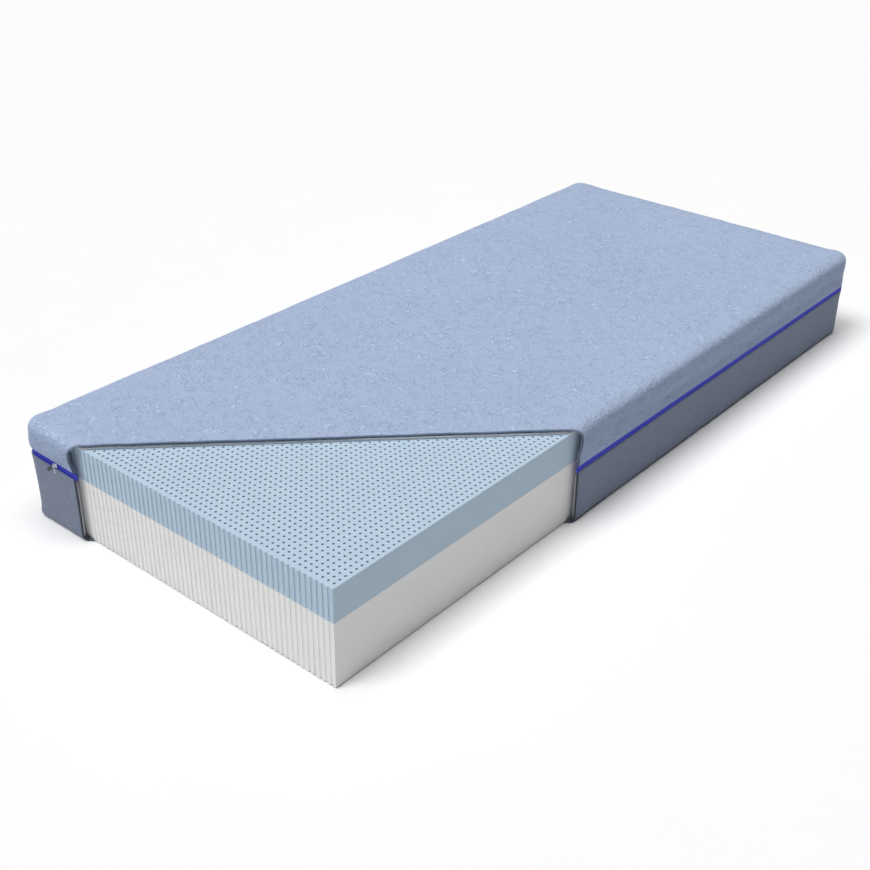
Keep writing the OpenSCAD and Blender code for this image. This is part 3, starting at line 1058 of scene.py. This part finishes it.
def fibre_pad():
    """A flat cushion that thins out towards its rim, flush with the cut."""
    pts, quads, loop, _ = plan_grid(0.012)
    n = len(pts)
    wave_up = 0.5 + 0.5 * undulation(np.column_stack([pts, np.zeros(n)]), 0.07, 101, 3)
    edge = np.minimum.reduce([W / 2 - TOP_EDGE_R - np.abs(pts[:, 0]), L / 2 - TOP_EDGE_R - np.abs(pts[:, 1]),
                              from_cut(pts) + 0.010])
    crown = smooth(edge / 0.016)
    top = pad_low.z + (pad_high.z - pad_low.z) * (0.45 + 0.55 * crown) - 0.0012 * wave_up * crown
    under = np.full(n, pad_low.z + 0.0002)
    verts = np.concatenate([np.column_stack([pts, top]), np.column_stack([pts, under])])
    quads, loop = quads.tolist(), loop.tolist()
    faces = [tuple(q) for q in quads] + [tuple(v + n for v in q[::-1]) for q in quads]
    faces += [(a, a + n, b + n, b) for a, b in zip(loop, loop[1:] + loop[:1])]
    ob = mesh_object("top_pad_fibre", verts, faces, fibre)
    with editing(ob) as bm:
        slice_at_cut(bm, 0.0014, clear_outer=True)
        bmesh.ops.holes_fill(bm, edges=[e for e in bm.edges if e.is_boundary], sides=0)
        bm.normal_update()
    return ob


pad = fibre_pad()
stands_for(pad, "upper_cover", "top_pad")


# ---- zip slider, bridge, ribbon and pull
def bevelled(outline, low, high, edge):
    """A plate from an outline in the zip's own plane, with rounded edges."""
    verts, rings = [], []
    outline = np.array(outline)
    t = np.roll(outline, -1, 0) - np.roll(outline, 1, 0)
    n = unit(np.stack([-t[:, 1], t[:, 0]], 1))
    if ((outline - outline.mean(0)) * n).sum() > 0:
        n = -n
    for z, inward in ((low, edge * 0.6), (low + edge * 0.6, 0), (high - edge, 0),
                      (high - edge * 0.3, edge * 0.3), (high, edge)):
        rings.append(range(len(verts), len(verts) + len(outline)))
        verts.extend((x, y, z) for x, y in outline + n * inward)
    return verts, closed_tube(rings)


SLIDER_X = -0.342
TO_ROW = (Matrix.Translation((0, 0, ZIP_Z)) @ Matrix.Rotation(ZIP_TILT, 4, "Y")
          @ Matrix.Translation((SLIDER_X, -L / 2 + SIDE_INSET + FABRIC_T, 0))
          @ Matrix.Rotation(pi / 2, 4, "X"))
PLATE_OUT = 0.0015
POST_OUT = PLATE_OUT + 0.0013
RIBBON_OUT = 0.0043
PULL_OUT = RIBBON_OUT + 0.0009
BAR_OUT = PULL_OUT + 0.0012
BRIDGE_L = 0.007
POST_R = 0.0008


def on_slider(name, verts, faces, material):
    ob = mesh_object(name, [tuple(TO_ROW @ Vector(v)) for v in verts], faces, material)
    weld(ob, 1e-7)
    ob.data.set_sharp_from_angle(angle=radians(40))
    return ob


def merged(parts):
    verts, faces = [], []
    for v, f in parts:
        base = len(verts)
        verts.extend(v)
        faces.extend(tuple(i + base for i in face) for face in f)
    return verts, faces


def arc(cx, cy, r, a0, a1, n):
    return around(cx, cy, r, [radians(a) for a in np.linspace(a0, a1, n)])


def slider_body():
    """The top plate, wide at the mouth and narrow at the tail, and the two rails the teeth run between."""
    mouth, tail = 0.00215, 0.00287
    outline = (arc(0.007 - mouth, 0.0043 - mouth, mouth, -20, 92, 9)
               + arc(-0.007 + tail, 0, tail, 100, 260, 13)
               + arc(0.007 - mouth, -0.0043 + mouth, mouth, -92, 20, 9)
               + [(0.0064, -0.0006), (0.0064, 0.0006)])
    parts = [bevelled(outline, PLATE_OUT, POST_OUT, 0.0004)]
    for side in (-1, 1):
        rail = [(x, side * y) for x, y in ((0.0058, 0.0036), (0.0058, 0.0043), (0.0010, 0.0040),
                                           (-0.0040, 0.0026), (-0.0040, 0.0019), (0.0010, 0.0033))]
        parts.append(bevelled(rail[::side], 0.00035, PLATE_OUT + 0.0002, 0.00015))
    return merged(parts)


def tube(path, radii, sides=12):
    verts, rings = [], []
    p = np.array(path, float)
    t = unit(np.gradient(p, axis=0))
    for k in range(len(p)):
        a = np.cross(t[k], (0, 1.0, 0))
        a /= np.linalg.norm(a)
        b = np.cross(t[k], a)
        rings.append(range(len(verts), len(verts) + sides))
        for turn in (2 * pi * j / sides for j in range(sides)):
            verts.append(tuple(p[k] + a * radii[0] * cos(turn) + b * radii[1] * sin(turn)))
    return verts, closed_tube(rings)


def bridge():
    """A staple: up from the plate, round a bend, along, and down again."""
    half, bend = BRIDGE_L / 2, 0.0011
    leg = [(0, POST_OUT - 0.0003), (0, POST_OUT + 0.001), (0, BAR_OUT - bend * 0.4)]
    leg += [(bend * (1 - cos(a)), BAR_OUT + 0.0005 - bend * 0.9 + bend * 0.9 * sin(a))
            for a in np.linspace(0.3, pi / 2, 5)]
    path = [(-half + d, 0, z) for d, z in leg]
    path += [(x, 0, BAR_OUT + 0.0005) for x in np.linspace(-half + 1.6 * bend, half - 1.6 * bend, 5)]
    path += [(half - d, 0, z) for d, z in leg[::-1]]
    return tube(path, (0.0005, POST_R))


def ribbon():
    """A narrow ribbon looped behind the bar, its two plies a little apart, with a slight curl at its end."""
    wide, long, rows, cols = BRIDGE_L - 2 * POST_R, 0.026, 27, 7
    verts, faces = [], []
    for out, way in ((0.0, -1), (0.0006, 1)):
        for t in (r / (rows - 1) for r in range(rows)):
            y = POST_R * 0.8 - t * (long + POST_R * 0.8)
            sway = 0.0006 * sin(t * 4.2) * t
            narrow = 1 - 0.14 * sin(t * 3.0)
            for u in (c / (cols - 1) - 0.5 for c in range(cols)):
                curl = 0.0002 * cos(2 * pi * u) * t * way * 0.3
                verts.append((u * wide * narrow + sway, y, RIBBON_OUT + out + curl))

    def at(layer, r, c):
        return (layer * rows + r) * cols + c

    for r in range(rows - 1):
        for c in range(cols - 1):
            faces.append((at(1, r, c), at(1, r + 1, c), at(1, r + 1, c + 1), at(1, r, c + 1)))
            faces.append((at(0, r, c + 1), at(0, r + 1, c + 1), at(0, r + 1, c), at(0, r, c)))
        for c, back, front in ((0, 0, 1), (cols - 1, 1, 0)):
            faces.append((at(back, r, c), at(back, r + 1, c), at(front, r + 1, c), at(front, r, c)))
    for c in range(cols - 1):
        for r, back, front in ((0, 0, 1), (rows - 1, 1, 0)):
            faces.append((at(back, r, c), at(front, r, c), at(front, r, c + 1), at(back, r, c + 1)))
    return verts, faces


def pull():
    """A tapered pull with an eye, a raised rim and a hollowed face."""
    lean = radians(-90 - 47)
    eye, ring_r, tip, long = POST_R + 0.0005, POST_R + 0.0015, 0.003, 0.027
    low, high, edge, dip = PULL_OUT, PULL_OUT + 0.001, 0.00025, 0.00028
    hollow_x, hollow_r = 0.0062, 0.0012
    # the outline and the hollow are walked in step: round the tip at one end, round the eye at the other
    outline = np.array(arc(long - tip, 0, tip, -90, 90, 13) + arc(0, 0, ring_r, 96, 264, 13))
    hollow = arc(long - tip, 0, tip - 0.0011, -90, 90, 13) + arc(hollow_x, 0, hollow_r, 96, 264, 13)
    hole = arc(0, 0, eye, 0, 360, 25)[:-1]
    n, m = len(outline), len(hole)
    rim = outline - edge * unit(outline - np.array([[np.clip(x, 0, long - tip), 0] for x, _ in outline]))

    def raised(levels):
        return [(x, y, z) for z, line in levels for x, y in line]

    body = raised(((low, rim), (low + edge, outline), (high - edge, outline), (high, rim)))
    side = tube_side([range(k * n, k * n + n) for k in range(4)])
    bm = bmesh.new()

    def cap(lines, z, up):
        """Fills the flat between closed lines."""
        edges = []
        for line in lines:
            vs = [bm.verts.new((x, y, z)) for x, y in line]
            edges += [bm.edges.new(pair) for pair in zip(vs, vs[1:] + vs[:1])]
        bmesh.ops.triangle_fill(bm, edges=edges, use_beauty=True, normal=(0, 0, up))

    cap([rim, hole, hollow], high, 1)
    cap([rim, hole], low, -1)
    bm.verts.index_update()
    flats = []
    for f in bm.faces:
        c = f.calc_center_median()
        in_hollow = high - 1e-6 < c.z and hollow_x < c.x < long - tip and abs(c.y) < hollow_r
        if hypot(c.x, c.y) > eye * 0.98 and not in_hollow:
            flats.append(tuple(v.index for v in f.verts))
    flat_verts = [tuple(v.co) for v in bm.verts]
    bm.free()
    verts, faces = merged([
        (body, side), (flat_verts, flats),
        (raised(((low, hole), (high, hole))), between(range(m, 2 * m), range(m))),
        (raised(((high, hollow), (high - dip, hollow))),
         between(range(n, 2 * n), range(n)) + [tuple(range(n, 2 * n))])])
    spin = Matrix.Translation((-BRIDGE_L / 2, 0, 0)) @ Matrix.Rotation(lean, 4, "Z")
    return [tuple(spin @ Vector(v)) for v in verts], faces


for name, made, material, body, node, slot in (
        ("slider_plate", slider_body(), steel, "slider", "zip_slider_body", "slider_metal"),
        ("slider_bridge", bridge(), steel, "slider", "zip_slider_bridge", "slider_metal"),
        ("slider_ribbon", ribbon(), ribbon_cloth, "slider", "zip_ribbon", "ribbon_grey"),
        ("slider_pull", pull(), dark_metal, "pull", "zip_pull", "pull_metal")):
    ob = on_slider(name, *made, material)
    stands_for(ob, body, node)
